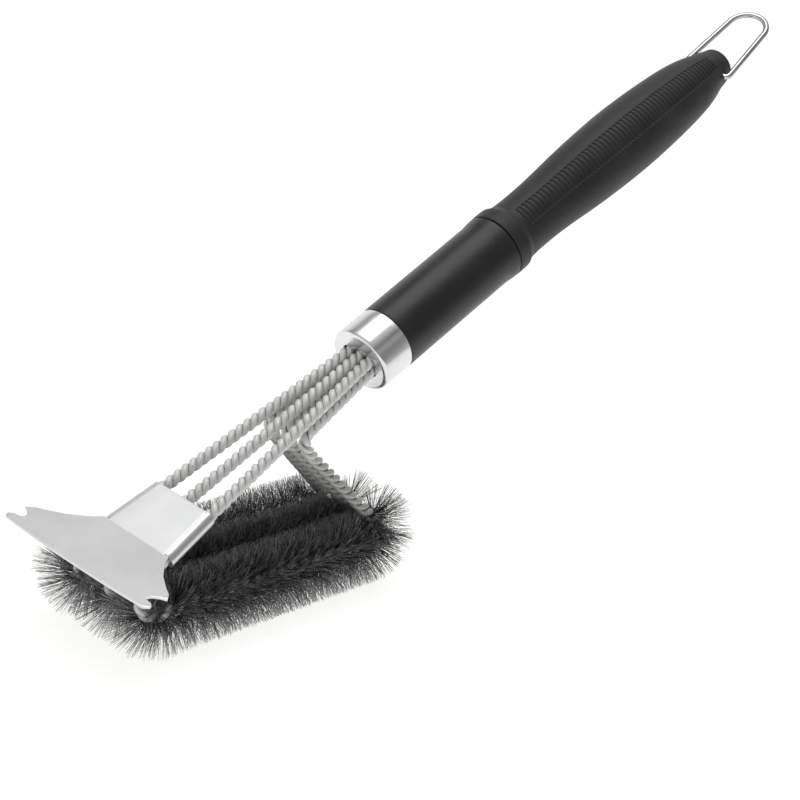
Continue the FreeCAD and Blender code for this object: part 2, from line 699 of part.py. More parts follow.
def write_nodes(nodes):
    os.makedirs("parts", exist_ok=True)
    for node in nodes:
        node.Shape.exportStep(os.path.join("parts", f"{node.Label}.step"))
        box = node.Shape.BoundBox
        print(f"{node.Label}: volume {node.Shape.Volume:.0f} mm3, x {box.XMin:.1f} to"
              f" {box.XMax:.1f}, y {box.YMin:.1f} to {box.YMax:.1f}, z {box.ZMin:.1f} to"
              f" {box.ZMax:.1f}")


ROWS = {"left": -1, "middle": 0, "right": 1}

fill_sheet()
make_ferrule()
make_front_sleeve()
make_wire_anchor()
make_core_tube()
make_grip()
make_hanging_loop()
for row_name, row_side in ROWS.items():
    row_wire = make_wire(f"wire_{row_name}", row_side)
    make_row(f"bristles_{row_name}", row_side, row_wire)
make_scraper()
doc.recompute()
all_nodes = node_objects()
check_all(all_nodes)
write_nodes(all_nodes)
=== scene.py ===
"""Look of the grill cleaning brush: twisted wires, bristle rows, bent scraper, ribbed grip."""

import math

import bpy
import numpy as np
from mathutils import Matrix, Vector


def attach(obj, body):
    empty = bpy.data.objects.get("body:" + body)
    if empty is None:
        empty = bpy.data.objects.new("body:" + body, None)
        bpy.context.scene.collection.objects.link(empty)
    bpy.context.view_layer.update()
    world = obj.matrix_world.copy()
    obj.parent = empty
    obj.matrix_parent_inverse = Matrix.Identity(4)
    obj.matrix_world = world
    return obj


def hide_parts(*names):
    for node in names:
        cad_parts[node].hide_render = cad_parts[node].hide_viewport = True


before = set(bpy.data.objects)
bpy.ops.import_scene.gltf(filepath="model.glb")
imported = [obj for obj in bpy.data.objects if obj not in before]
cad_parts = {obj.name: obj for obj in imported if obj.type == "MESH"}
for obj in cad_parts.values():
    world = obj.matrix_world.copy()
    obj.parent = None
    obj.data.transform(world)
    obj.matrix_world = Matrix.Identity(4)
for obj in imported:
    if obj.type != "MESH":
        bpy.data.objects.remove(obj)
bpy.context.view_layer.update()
rng = np.random.default_rng(20261117)

MM = 0.001
TAU = 2 * math.pi

# ---------------------------------------------------------------- frames, in millimetres

TILT = math.radians(28.3)
FERRULE_FACE = np.array([57.1, 0.0, 107.1])


def from_handle(points):
    """Points of the handle's frame (x back along the handle) in the part's frame."""
    p = np.atleast_2d(np.asarray(points, float))
    c, s = math.cos(TILT), math.sin(TILT)
    out = np.stack([p[:, 0] * c - p[:, 2] * s, p[:, 1], p[:, 0] * s + p[:, 2] * c], axis=1)
    return out + FERRULE_FACE


def unit(v):
    return v / np.linalg.norm(v, axis=-1, keepdims=True)


def smoothstep(a, b, x):
    t = np.clip((x - a) / (b - a), 0.0, 1.0)
    return t * t * (3 - 2 * t)


# ---------------------------------------------------------------- mesh helpers

def make_object(name, points, faces, material, body="brush", tint=None):
    """A mesh piece from points in millimetres; faces all have the same number of corners."""
    points = np.asarray(points, np.float32) * MM
    faces = np.asarray(faces, np.int32)
    mesh = bpy.data.meshes.new(name)
    mesh.vertices.add(len(points))
    mesh.vertices.foreach_set("co", points.ravel())
    mesh.loops.add(faces.size)
    mesh.loops.foreach_set("vertex_index", faces.ravel())
    mesh.polygons.add(len(faces))
    corners = faces.shape[1]
    mesh.polygons.foreach_set("loop_start", np.arange(0, faces.size, corners, dtype=np.int32))
    mesh.polygons.foreach_set("use_smooth", np.full(len(faces), True))
    mesh.update(calc_edges=True)
    mesh.validate()
    if tint is not None:
        layer = mesh.attributes.new("tint", "FLOAT", "POINT")
        layer.data.foreach_set("value", np.asarray(tint, np.float32))
    piece = bpy.data.objects.new(name, mesh)
    bpy.context.scene.collection.objects.link(piece)
    mesh.materials.append(material)
    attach(piece, body)
    return piece


def grid_faces(rows, columns, closed=False):
    """Quads over a grid numbered row by row; closed joins the last column to the first."""
    i = np.arange(rows - 1)[:, None]
    j = np.arange(columns if closed else columns - 1)[None, :]
    k = (j + 1) % columns
    return np.stack([i * columns + j, i * columns + k, (i + 1) * columns + k,
                     (i + 1) * columns + j], axis=-1).reshape(-1, 4)


def join(parts):
    """One set of points and faces from several."""
    points, faces, start = [], [], 0
    for p, f in parts:
        points.append(p)
        faces.append(np.asarray(f) + start)
        start += len(p)
    return np.concatenate(points), np.concatenate(faces)


def edge_by_angle(piece, degrees):
    """Keeps edges sharper than the angle crisp."""
    piece.data.set_sharp_from_angle(angle=math.radians(degrees))


# ---------------------------------------------------------------- paths

NO_TURN = 1e-4  # radians: a corner that turns less than this needs no bend


def rounded_path(corners, step):
    """Points every step or less along straight runs joined by tangent arcs."""
    points = [np.asarray(c[0], float) for c in corners]
    out = [points[0]]

    def run_to(end):
        start = out[-1]
        count = max(1, int(np.linalg.norm(end - start) / step))
        for k in range(1, count + 1):
            out.append(start + (end - start) * k / count)

    for i in range(1, len(corners) - 1):
        corner, radius = points[i], corners[i][1]
        back, ahead = unit(out[-1] - corner), unit(points[i + 1] - corner)
        half = math.acos(float(np.clip(back @ ahead, -1, 1))) / 2
        if math.pi / 2 - half < NO_TURN:
            continue
        middle = unit(back + ahead)
        centre = corner + middle * radius / math.sin(half)
        run_to(corner + back * radius / math.tan(half))
        first = out[-1] - centre
        sweep = math.pi - 2 * half
        axis = unit(np.cross(first, corner - centre))
        across = np.cross(axis, first)
        count = max(3, int(radius * sweep / step))
        for k in range(1, count + 1):
            a = sweep * k / count
            out.append(centre + first * math.cos(a) + across * math.sin(a))
    run_to(points[-1])
    return np.array(out)


def resample(points, step):
    """The same line with evenly spaced points; also the distance along it."""
    lengths = np.linalg.norm(np.diff(points, axis=0), axis=1)
    s = np.concatenate([[0], np.cumsum(lengths)])
    even = np.linspace(0, s[-1], int(s[-1] / step) + 1)
    return np.stack([np.interp(even, s, points[:, k]) for k in range(3)], axis=1), even


def carried_frames(points, first_normal):
    """Tangents, normals and binormals that turn no more than the line does."""
    tangents = unit(np.gradient(points, axis=0))
    normals = np.empty_like(tangents)
    n = np.asarray(first_normal, float)
    for i, t in enumerate(tangents):
        n = n - (n @ t) * t
        n = n / np.linalg.norm(n)
        normals[i] = n
    return tangents, normals, np.cross(tangents, normals)


def tube(points, normals, radius, sides):
    """Points and faces of a tube round a line, drawn in to a point at both ends."""
    tangents = unit(np.gradient(points, axis=0))
    normals = unit(normals - np.sum(normals * tangents, axis=1, keepdims=True) * tangents)
    binormals = np.cross(tangents, normals)
    a = np.arange(sides) * TAU / sides
    ring = (normals[:, None, :] * np.cos(a)[None, :, None]
            + binormals[:, None, :] * np.sin(a)[None, :, None])
    rings = np.concatenate([np.repeat(points[:1, None, :], sides, axis=1),
                            points[:, None, :] + ring * radius,
                            np.repeat(points[-1:, None, :], sides, axis=1)])
    return rings.reshape(-1, 3), grid_faces(len(rings), sides, closed=True)


# ---------------------------------------------------------------- node materials

def new_material(name):
    material = bpy.data.materials.new(name)
    material.use_nodes = True
    tree = material.node_tree
    return material, tree, tree.nodes["Principled BSDF"]


def add(tree, kind, **settings):
    node = tree.nodes.new(kind)
    for key, value in settings.items():
        setattr(node, key, value)
    return node


def noise(tree, scale, detail=4.0, stretch=(1, 1, 1), rotation=(0, 0, 0), roughness=0.5):
    """Object-space noise, stretched along the axes of a turned frame."""
    place = add(tree, "ShaderNodeTexCoord")
    turn = add(tree, "ShaderNodeMapping")
    turn.inputs["Rotation"].default_value = rotation
    squeeze = add(tree, "ShaderNodeMapping")
    squeeze.inputs["Scale"].default_value = stretch
    tree.links.new(place.outputs["Object"], turn.inputs["Vector"])
    tree.links.new(turn.outputs["Vector"], squeeze.inputs["Vector"])
    texture = add(tree, "ShaderNodeTexNoise")
    texture.inputs["Scale"].default_value = scale
    texture.inputs["Detail"].default_value = detail
    texture.inputs["Roughness"].default_value = roughness
    tree.links.new(squeeze.outputs["Vector"], texture.inputs["Vector"])
    return texture.outputs["Fac"]


def ramp(tree, value, low, high, out_low, out_high):
    """value mapped from low..high to out_low..out_high."""
    node = add(tree, "ShaderNodeMapRange")
    node.inputs["From Min"].default_value = low
    node.inputs["From Max"].default_value = high
    node.inputs["To Min"].default_value = out_low
    node.inputs["To Max"].default_value = out_high
    tree.links.new(value, node.inputs["Value"])
    return node.outputs["Result"]


def mix_colour(tree, value, first, second):
    node = add(tree, "ShaderNodeMix", data_type="RGBA")
    tree.links.new(value, node.inputs["Factor"])
    for socket, colour in (("A", first), ("B", second)):
        target = [s for s in node.inputs if s.name == socket and s.type == "RGBA"][0]
        if isinstance(colour, tuple):
            target.default_value = (*colour, 1.0)
        else:
            tree.links.new(colour, target)
    return [s for s in node.outputs if s.type == "RGBA"][0]


def bump(tree, height, strength, distance):
    node = add(tree, "ShaderNodeBump")
    node.inputs["Strength"].default_value = strength
    node.inputs["Distance"].default_value = distance
    tree.links.new(height, node.inputs["Height"])
    return node.outputs["Normal"]


HANDLE_TURN = (0.0, TILT, 0.0)


def steel_material(name, colour, dark, roughness, spread, grain, stretch, turn, bumpiness):
    """Bare steel with grain running one way, faint stains and finger-fine unevenness."""
    material, tree, shader = new_material(name)
    shader.inputs["Metallic"].default_value = 1.0
    streaks = noise(tree, grain, 6.0, stretch, turn, 0.6)
    clouds = noise(tree, 38.0, 3.0)
    colour_out = mix_colour(tree, ramp(tree, clouds, 0.3, 0.7, 0.0, 1.0), colour, dark)
    tree.links.new(colour_out, shader.inputs["Base Color"])
    tree.links.new(ramp(tree, streaks, 0.3, 0.7, roughness - spread, roughness + spread),
                   shader.inputs["Roughness"])
    tree.links.new(bump(tree, streaks, bumpiness, 0.0001), shader.inputs["Normal"])
    return material


def plastic_material(name, colour, light, roughness, spread, grain, depth, specular):
    """Moulded black plastic with a fine spark-eroded texture and faint handling marks."""
    material, tree, shader = new_material(name)
    shader.inputs["Specular IOR Level"].default_value = specular
    pores = noise(tree, grain, 5.0, roughness=0.65)
    marks = noise(tree, 55.0, 4.0)
    colour_out = mix_colour(tree, ramp(tree, marks, 0.35, 0.75, 0.0, 1.0), colour, light)
    tree.links.new(colour_out, shader.inputs["Base Color"])
    tree.links.new(ramp(tree, marks, 0.3, 0.7, roughness - spread, roughness + spread),
                   shader.inputs["Roughness"])
    tree.links.new(bump(tree, pores, depth, 0.0002), shader.inputs["Normal"])
    return material


def bristle_material():
    """Oxidised crimped steel wire, nearly black at the root and greyer and brighter at the tip:
    the dark roots are painted shade deep in the row, and small bright noise spots are painted
    glints.
    """
    material, tree, shader = new_material("bristle_wire")
    shader.inputs["Metallic"].default_value = 0.85
    # the tint attribute carries painted shade at the roots and painted glints on some wires
    tint = add(tree, "ShaderNodeAttribute", attribute_name="tint")
    shade = mix_colour(tree, tint.outputs["Fac"], (0.013, 0.013, 0.014), (0.72, 0.72, 0.72))
    # small bright noise spots mixed into the colour: painted glints on the wires
    spots = noise(tree, 900.0, 2.0)
    shade = mix_colour(tree, ramp(tree, spots, 0.60, 0.68, 0.0, 0.5), shade, (0.6, 0.6, 0.6))
    tree.links.new(shade, shader.inputs["Base Color"])
    tree.links.new(ramp(tree, spots, 0.3, 0.7, 0.42, 0.28), shader.inputs["Roughness"])
    return material


def wire_material():
    """Galvanised wire: satin and light on the crowns, and dark down between the strands where the
    tint attribute paints shade into the groove.
    """
    material, tree, shader = new_material("galvanised_wire")
    shader.inputs["Metallic"].default_value = 0.6
    tint = add(tree, "ShaderNodeAttribute", attribute_name="tint")
    spots = noise(tree, 420.0, 4.0, roughness=0.6)
    crown = mix_colour(tree, ramp(tree, spots, 0.35, 0.7, 0.0, 1.0),
                       (0.80, 0.80, 0.79), (0.70, 0.70, 0.69))
    # tint 0 is painted shade, down in the groove between the strands and on the rear legs
    shade = mix_colour(tree, tint.outputs["Fac"], (0.045, 0.045, 0.045), crown)
    tree.links.new(shade, shader.inputs["Base Color"])
    tree.links.new(ramp(tree, spots, 0.3, 0.7, 0.56, 0.68), shader.inputs["Roughness"])
    tree.links.new(bump(tree, spots, 0.2, 0.0001), shader.inputs["Normal"])
    return material


FLOOR_GLOW = 0.88


def floor_material():
    """White sweep, lit from behind as well, so that shadows on it stay faint."""
    material, tree, shader = new_material("pale_floor")
    speck = noise(tree, 60.0, 3.0)
    tree.links.new(mix_colour(tree, speck, (0.24, 0.24, 0.235), (0.26, 0.26, 0.255)),
                   shader.inputs["Base Color"])
    shader.inputs["Roughness"].default_value = 0.95
    shader.inputs["Specular IOR Level"].default_value = 0.1
    shader.inputs["Emission Color"].default_value = (1.0, 1.0, 0.985, 1.0)
    shader.inputs["Emission Strength"].default_value = FLOOR_GLOW
    return material


SHEET = steel_material("brushed_sheet", (0.76, 0.76, 0.755), (0.66, 0.665, 0.67),
                       0.38, 0.06, 90.0, (1.0, 18.0, 1.0), HANDLE_TURN, 0.12)
WIRE = wire_material()
CHROME = steel_material("polished_cap", (0.80, 0.80, 0.81), (0.74, 0.74, 0.75),
                        0.23, 0.05, 120.0, (0.12, 6.0, 6.0), HANDLE_TURN, 0.05)
LOOP = steel_material("bright_loop", (0.60, 0.60, 0.60), (0.46, 0.46, 0.46),
                      0.14, 0.05, 300.0, (1.0, 1.0, 1.0), (0, 0, 0), 0.04)
GRIP = plastic_material("grip_plastic", (0.014, 0.014, 0.015), (0.024, 0.024, 0.025),
                        0.50, 0.05, 2600.0, 0.20, 0.36)
SLEEVE = plastic_material("sleeve_plastic", (0.012, 0.012, 0.012), (0.017, 0.017, 0.017),
                          0.36, 0.04, 1500.0, 0.06, 0.42)
PLUG = plastic_material("plug_plastic", (0.02, 0.02, 0.02), (0.03, 0.03, 0.03),
                        0.55, 0.05, 1500.0, 0.1, 0.4)
BRISTLE = bristle_material()
for bright_metal, edge in ((LOOP, 0.03), (WIRE, 0.45)):
    shader = bright_metal.node_tree.nodes["Principled BSDF"]
    shader.inputs["Specular Tint"].default_value = (edge, edge, edge, 1.0)

# ---------------------------------------------------------------- twisted wires

ROPE_SPACING = 6.05
ROW_PITCH = 18.8
CORE_HEIGHT = 16.7
STRAND_RADIUS = 1.62
STRAND_OFFSET = 1.38
STRAND_SIDES = 14
# length of one full turn of the strands on the stems, in the rows and on the rear legs
STEM_PITCH, CORE_PITCH, LEG_PITCH = 9.2, 16.5, 12.4
LEG_LENGTH = 86.0
# how much darker the rear legs are painted: painted shade, as they stand in shadow
LEG_PAINTED_SHADE = 0.32
CLAMP_REAR, CLAMP_LENGTH, CLAMP_HEIGHT = -114.0, 28.6, 3.4
CLAMP_REAR_SPAN, CLAMP_FRONT_SPAN = 14.4, 17.2
FRONT_SPREAD = 1.2  # the outer wires' front bends stand this much further out than their rows
REAR_CORNER_X = 90.8
# bends of the rear legs: position, distance out from the wire's place in the ferrule, height
SHIN, KNEE = (-49.0, 5.4, -13.0), (-50.5, 4.4, -3.0)
WIRE_END = 12.0  # the wires are drawn to this depth inside the ferrule
LINE_STEP = 0.4
SIDES = {"left": -1, "middle": 0, "right": 1}


def wire_corners(side):
    """Corner points and bend radii of one wire, from inside the ferrule round to it again."""
    clamp_front_x = CLAMP_REAR - CLAMP_LENGTH
    clamp_rear = from_handle([CLAMP_REAR, side * CLAMP_REAR_SPAN, CLAMP_HEIGHT])[0]
    clamp_front = from_handle([clamp_front_x, side * CLAMP_FRONT_SPAN, CLAMP_HEIGHT])[0]
    ahead = clamp_front - clamp_rear
    front = clamp_front + ahead * (CORE_HEIGHT - clamp_front[2]) / ahead[2]
    front[1] = side * (ROW_PITCH + FRONT_SPREAD)
    rear = np.array([REAR_CORNER_X, side * ROW_PITCH, CORE_HEIGHT])
    upper = ROPE_SPACING / 2

    def by_ferrule(x, outwards, z):
        return from_handle([x, side * (ROPE_SPACING + outwards), z])[0]

    return [
        (by_ferrule(WIRE_END, 0.0, upper), 0),
        (by_ferrule(0.0, 0.0, upper), 60.0),
        (clamp_rear, 150.0),
        (front, 12.0),
        (rear, 6.0),
        (by_ferrule(*SHIN), 15.0),
        (by_ferrule(*KNEE), 4.0),
        (by_ferrule(0.0, 0.0, -upper), 60.0),
        (by_ferrule(WIRE_END, 0.0, -upper), 0),
    ]


def wire_line(side, step):
    """One wire's centre line: points, distance along it and the frames that follow it."""
    points, s = resample(rounded_path(wire_corners(side), LINE_STEP), step)
    tangents, normals, binormals = carried_frames(points, (0, 1, 0))
    return points, s, tangents, normals, binormals


def twist(s, front, rear):
    """Turn of the strands a distance s along the wire; it is slower in the row and the leg."""
    leg_end = rear + LEG_LENGTH
    in_row = smoothstep(front - 10, front, s) * (1 - smoothstep(leg_end - 8, leg_end, s))
    on_leg = smoothstep(rear, rear + 12, s)
    slow = CORE_PITCH + (LEG_PITCH - CORE_PITCH) * on_leg
    pitch = STEM_PITCH + (slow - STEM_PITCH) * in_row
    return -TAU * np.cumsum(np.gradient(s) / pitch)


def make_wire(name, side):
    """Two strands laid round each other in a left-hand twist, with painted shade darkening them
    down in the groove and along the rear legs.
    """
    points, s, _, normals, binormals = wire_line(side, 0.5)
    front, rear = row_span(points, s)
    leg_end = rear + LEG_LENGTH
    # the rear legs are painted darker: painted shade
    on_leg = smoothstep(rear - 5, rear + 10, s) * (1 - smoothstep(leg_end - 12, leg_end + 6, s))
    light = 1 - LEG_PAINTED_SHADE * on_leg
    light = np.repeat(np.concatenate([light[:1], light, light[-1:]]), STRAND_SIDES)
    middle = np.repeat(np.concatenate([points[:1], points, points[-1:]]), STRAND_SIDES, axis=0)
    parts, shades = [], []
    for half_turn in (0.0, math.pi):
        turn = twist(s, front, rear) + half_turn
        out = normals * np.cos(turn)[:, None] + binormals * np.sin(turn)[:, None]
        body, faces = tube(points + out * STRAND_OFFSET, out, STRAND_RADIUS, STRAND_SIDES)
        parts.append((body, faces))
        # vertices close to the wire's middle line, down in the groove between the strands, get
        # painted shade
        away = np.linalg.norm(body - middle, axis=1)
        shades.append(smoothstep(1.35, 2.35, away) * light)
    wire_points, wire_faces = join(parts)
    piece = make_object(name, wire_points, wire_faces, WIRE, tint=np.concatenate(shades))
    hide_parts(name.replace("twisted", "wire"))


# ---------------------------------------------------------------- bristles

BRISTLES_PER_MM = 46
BRISTLE_RADIUS = 0.115
BRISTLE_SIDES = 3
BRISTLE_REACH, LONGEST_REACH = 18.0, 22.0
BRISTLE_STEPS = np.array([0.04, 0.26, 0.5, 0.74, 1.0])  # rings along a bristle, root to tip
NO_LIMIT = 1e9
STEM_FOOT_X = -118.0  # the line under the stems comes down to the cores' height here
# how far the bristles run on round the front and the rear bend of each row
ROW_ENDS = {-1: (8.5, 24.0), 0: (9.0, 17.0), 1: (17.0, 10.0)}
FRONT_BEND = 9.0  # the bend's bare outer face starts this far ahead of the straight row
LAID_SHARE = 0.87  # bristles that follow the twist; the others point anywhere
OUTER_FACE_SHARE = 0.08
STRAY_SHARE = 0.03
PALE_SHARE, PALE_TINT = 0.15, 0.22
# share and facing limit of the wires given a painted glint along their inner part
FACING_GLINT_SHARE, GLINT_FACING = 0.45, 0.92
# shares of wires painted light along their whole length as glints, in the row and in the splayed
# fans
GLINT_WIRE_SHARE, FAN_GLINT_WIRE_SHARE = 0.07, 0.20
PIECES_PER_ROW = 2


def row_span(points, s):
    """Distances along the wire where the bristles start and end, round both bends."""
    low = points[:, 2] < CORE_HEIGHT + 0.05
    straight = s[low]
    return straight.min(), straight.max()


def bristle_places(side):
    """Root, line of the wire, direction and splay of every bristle in a row."""
    points, s, tangents, normals, binormals = wire_line(side, 0.4)
    front, rear = row_span(points, s)
    before, after = ROW_ENDS[side]
    first, last = front - before, rear + after
    count = int((rear - front + before + after) * BRISTLES_PER_MM)
    at = rng.uniform(first, last, count)
    thinning = smoothstep(first, first + 4.0, at) * (1 - smoothstep(last - 3.0, last, at))
    at = at[rng.uniform(0, 1, count) < thinning]
    count = len(at)

    def look_up(values):
        return np.stack([np.interp(at, s, values[:, k]) for k in range(3)], axis=1)

    root, along = look_up(points), unit(look_up(tangents))
    n, b = unit(look_up(normals)), unit(look_up(binormals))
    helix = (np.interp(at, s, twist(s, front, rear)) + math.pi / 2
             + math.pi * rng.integers(0, 2, count))
    spread = np.where(at > rear - 4, 0.22, 0.48)
    laid = rng.uniform(0, 1, count) < LAID_SHARE
    turn = np.where(laid, helix + rng.normal(0, 1, count) * spread, rng.uniform(0, TAU, count))
    out = n * np.cos(turn)[:, None] + b * np.sin(turn)[:, None]
    outward = unit(np.stack([along[:, 2], np.zeros(count), -along[:, 0]], axis=1))
    on_outer_face = (at < front - FRONT_BEND) & (np.sum(out * outward, axis=1) > 0.3)
    keep = ~on_outer_face | (rng.uniform(0, 1, count) < OUTER_FACE_SHARE)
    splay = 1.3 * np.clip((front + 10.0 - at) / 15.0, 0, 1) * rng.uniform(0.5, 1.15, count)
    in_row = at > front - FRONT_BEND
    aside = np.where(in_row[:, None], -along, 0.8 * outward - 0.6 * along) * splay[:, None]
    return root[keep], along[keep], out[keep], aside[keep]


def bristle_lines(root, along, out, aside, splay):
    """Points along every bristle, slightly crimped, kept over the floor and under the stems."""
    count = len(root)
    lean = rng.normal(0, 0.06, count)
    stray = rng.uniform(0, 1, count) < STRAY_SHARE
    lean = np.where(stray, rng.normal(0, 0.25, count), lean)
    across = np.cross(along, out)
    heading = unit(out + aside + along * lean[:, None] + across * rng.normal(0, 0.05, (count, 1)))
    reach = BRISTLE_REACH + rng.normal(0, 0.35, count) - 1.6 * rng.uniform(0, 1, count) ** 6
    floor_gap = 0.15 + rng.uniform(0, 0.5, count)
    to_floor = (root[:, 2] - floor_gap) / np.maximum(-heading[:, 2], 1e-3)
    reach = np.minimum(reach * (1 + 0.26 * splay), LONGEST_REACH)
    reach = np.minimum(reach, np.where(heading[:, 2] < 0, to_floor, NO_LIMIT))
    rise = heading[:, 2] - math.tan(TILT) * heading[:, 0]
    headroom = CORE_HEIGHT + math.tan(TILT) * (root[:, 0] - STEM_FOOT_X) - root[:, 2]
    reach = np.minimum(reach, np.where(rise > 0, headroom / np.maximum(rise, 1e-3), NO_LIMIT))
    reach = np.maximum(reach, 0.5)
    sway = unit(rng.normal(0, 1, (count, 3))) * np.abs(rng.normal(0, 0.45, (count, 1)))
    sway = np.where(stray[:, None], sway * 2.5, sway)
    wave = rng.normal(0, 0.09, (count, len(BRISTLE_STEPS), 3))
    wave[:, 0] = 0
    steps = BRISTLE_STEPS[None, :, None]
    line = (root[:, None, :] + heading[:, None, :] * reach[:, None, None] * steps
            + sway[:, None, :] * steps ** 2 + wave)
    line[:, :, 2] = np.maximum(line[:, :, 2], 0.12)
    return line, heading


def bristle_tints(out, splay, bright):
    """Brightness of every ring: painted shade makes the roots dark and the tips paler, and painted
    glints make some wires light near the root or all along.
    """
    count = len(out)
    steps = BRISTLE_STEPS[None, :, None]
    # dark roots and paler tips: painted shade deep in the row; bristles pointing upward stay dark
    # further out, their lightness painted only at the very tip
    tip_shade = rng.uniform(0.3, 1.0, (count, 1, 1))
    tip_start = np.where(out[:, 2] > 0.2, 6.5, 3.0)[:, None, None]
    pale = np.where(rng.uniform(0, 1, (count, 1, 1)) < PALE_SHARE, PALE_TINT, 0.0)
    # splayed fan bristles painted lighter towards the tip: painted light on the wires standing out
    # of the row
    fan_painted_light = 0.30 * np.clip(splay - 0.2, 0, 1)[:, None, None] * steps
    tint = np.clip(tip_shade * steps ** tip_start + pale + fan_painted_light, 0, 1)
    # wires pointing sideways or up get a painted glint, lightest about a third of the way out
    facing = np.abs(out[:, 1]) * 0.75 + out[:, 2] * 0.66
    facing_glint = (facing > GLINT_FACING) & (rng.uniform(0, 1, count) < FACING_GLINT_SHARE)
    glint_tint = 1.15 - 2.6 * np.abs(steps - 0.3)
    tint = np.where(facing_glint[:, None, None], np.maximum(tint, glint_tint), tint)
    # painted glints: these wires are light all along
    tint = np.where(bright[:, None, None], rng.uniform(0.75, 1.0, (count, 1, 1)), tint)
    return np.broadcast_to(tint, (count, len(BRISTLE_STEPS), BRISTLE_SIDES))


def make_bristles(name, side):
    """One row of fine wires, trimmed to one length and flat where the row rests."""
    root, along, out, aside = bristle_places(side)
    splay = np.linalg.norm(aside, axis=1)
    count = len(root)
    line, heading = bristle_lines(root, along, out, aside, splay)
    side_way = unit(np.cross(heading, unit(rng.normal(0, 1, (count, 3)))))
    other_way = np.cross(heading, side_way)
    angles = np.arange(BRISTLE_SIDES) * TAU / BRISTLE_SIDES
    bright = rng.uniform(0, 1, count) < np.where(splay > 0.75, FAN_GLINT_WIRE_SHARE, GLINT_WIRE_SHARE)
    thick = BRISTLE_RADIUS * rng.uniform(0.85, 1.15, count) * np.where(bright, 1.25, 1.0)
    ring = (side_way[:, None, :] * np.cos(angles)[None, :, None]
            + other_way[:, None, :] * np.sin(angles)[None, :, None]) * thick[:, None, None]
    taper = (1 - 0.35 * BRISTLE_STEPS)[None, :, None, None]
    cloud = line[:, :, None, :] + ring[:, None, :, :] * taper
    cloud[..., 2] = np.maximum(cloud[..., 2], 0.05)
    tint = bristle_tints(out, splay, bright)
    one = grid_faces(len(BRISTLE_STEPS), BRISTLE_SIDES, closed=True)
    block = len(BRISTLE_STEPS) * BRISTLE_SIDES
    share = -(-count // PIECES_PER_ROW)
    order = np.argsort(root[:, 0])
    for piece_number in range(PIECES_PER_ROW):
        chosen = order[piece_number * share:(piece_number + 1) * share]
        faces = one[None] + (np.arange(len(chosen)) * block)[:, None, None]
        piece = make_object(f"{name}_{piece_number}", cloud[chosen].reshape(-1, 3),
                            faces.reshape(-1, 4), BRISTLE, tint=tint[chosen].ravel())
        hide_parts(name)


# ---------------------------------------------------------------- handle

TUBE_RADIUS, RIM_ROUNDING = 16.5, 2.0
FACE_RADIUS = TUBE_RADIUS - RIM_ROUNDING
OPENING_LOBE = 3.3  # radius of the ferrule's opening round each wire


def revolved(profile, columns=96):
    """Points and faces of a profile of (x, radius) turned round the handle's axis."""
    a = np.arange(columns) * TAU / columns
    profile = np.asarray(profile, float)
    points = np.stack([
        np.repeat(profile[:, 0], columns),
        (profile[:, 1][:, None] * np.sin(a)[None]).ravel(),
        (profile[:, 1][:, None] * np.cos(a)[None]).ravel()], axis=1)
    return points, grid_faces(len(profile), columns, closed=True)


def corner_arc(centre_x, centre_r, radius, start, end, count=8):
    """Profile points of one rounded corner; angles from +x towards +r, in degrees."""
    return [(centre_x + radius * math.cos(math.radians(a)),
             centre_r + radius * math.sin(math.radians(a)))
            for a in np.linspace(start, end, count)]


def opening_radius(angle):
    """Distance from the middle to the edge of the lobed opening, in the direction of angle."""
    direction = np.array([math.sin(angle), math.cos(angle)])
    best = 0.0
    for y in (-ROPE_SPACING, 0.0, ROPE_SPACING):
        for z in (-ROPE_SPACING / 2, 0.0, ROPE_SPACING / 2):
            middle = np.array([y, z])
            along = middle @ direction
            off = middle @ middle - along ** 2
            if off < OPENING_LOBE ** 2:
                best = max(best, along + math.sqrt(OPENING_LOBE ** 2 - off))
    return best


def make_ferrule():
    """Drawn cap: rounded rim, flat face and the lobed opening for the wires."""
    profile = [(18.0, 15.5), (18.0, 16.2)] + corner_arc(17.7, 16.2, 0.3, 0, 90, 4)
    profile += [(x, TUBE_RADIUS) for x in (14.0, 10.0, 6.0)]
    profile += corner_arc(RIM_ROUNDING, FACE_RADIUS, RIM_ROUNDING, 90, 180, 10)
    columns = 144
    a = np.arange(columns) * TAU / columns
    opening = np.array([opening_radius(x) for x in a])
    rings = []
    for share, depth in ((0.0, 0.0), (0.5, 0.02), (0.94, 0.04), (1.0, 0.3), (1.0, 1.4)):
        radius = FACE_RADIUS + (opening - FACE_RADIUS) * share
        rings.append(np.stack([np.full(columns, depth), radius * np.sin(a),
                               radius * np.cos(a)], axis=1))
    face = (np.concatenate(rings), grid_faces(len(rings), columns, closed=True))
    points, faces = join([revolved(profile, columns), face])
    piece = make_object("ferrule_cap", from_handle(points), faces, CHROME)
    edge_by_angle(piece, 40)
    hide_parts("ferrule")


def make_sleeve():
    """Plastic tube behind the ferrule, flaring softly into the joint."""
    profile = [(17.2, 15.4), (18.02, 16.0), (18.3, 16.38)]
    for x in np.linspace(19.0, 96.4, 60):
        profile.append((x, 16.45 + 0.6 * float(smoothstep(88.5, 96.0, x))))
    profile += corner_arc(96.3, 16.6, 0.45, 90, 0, 5)
    profile.append((96.75, 15.0))
    points, faces = revolved(profile)
    piece = make_object("sleeve_tube", from_handle(points), faces, SLEEVE)
    edge_by_angle(piece, 50)
    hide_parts("front_sleeve")


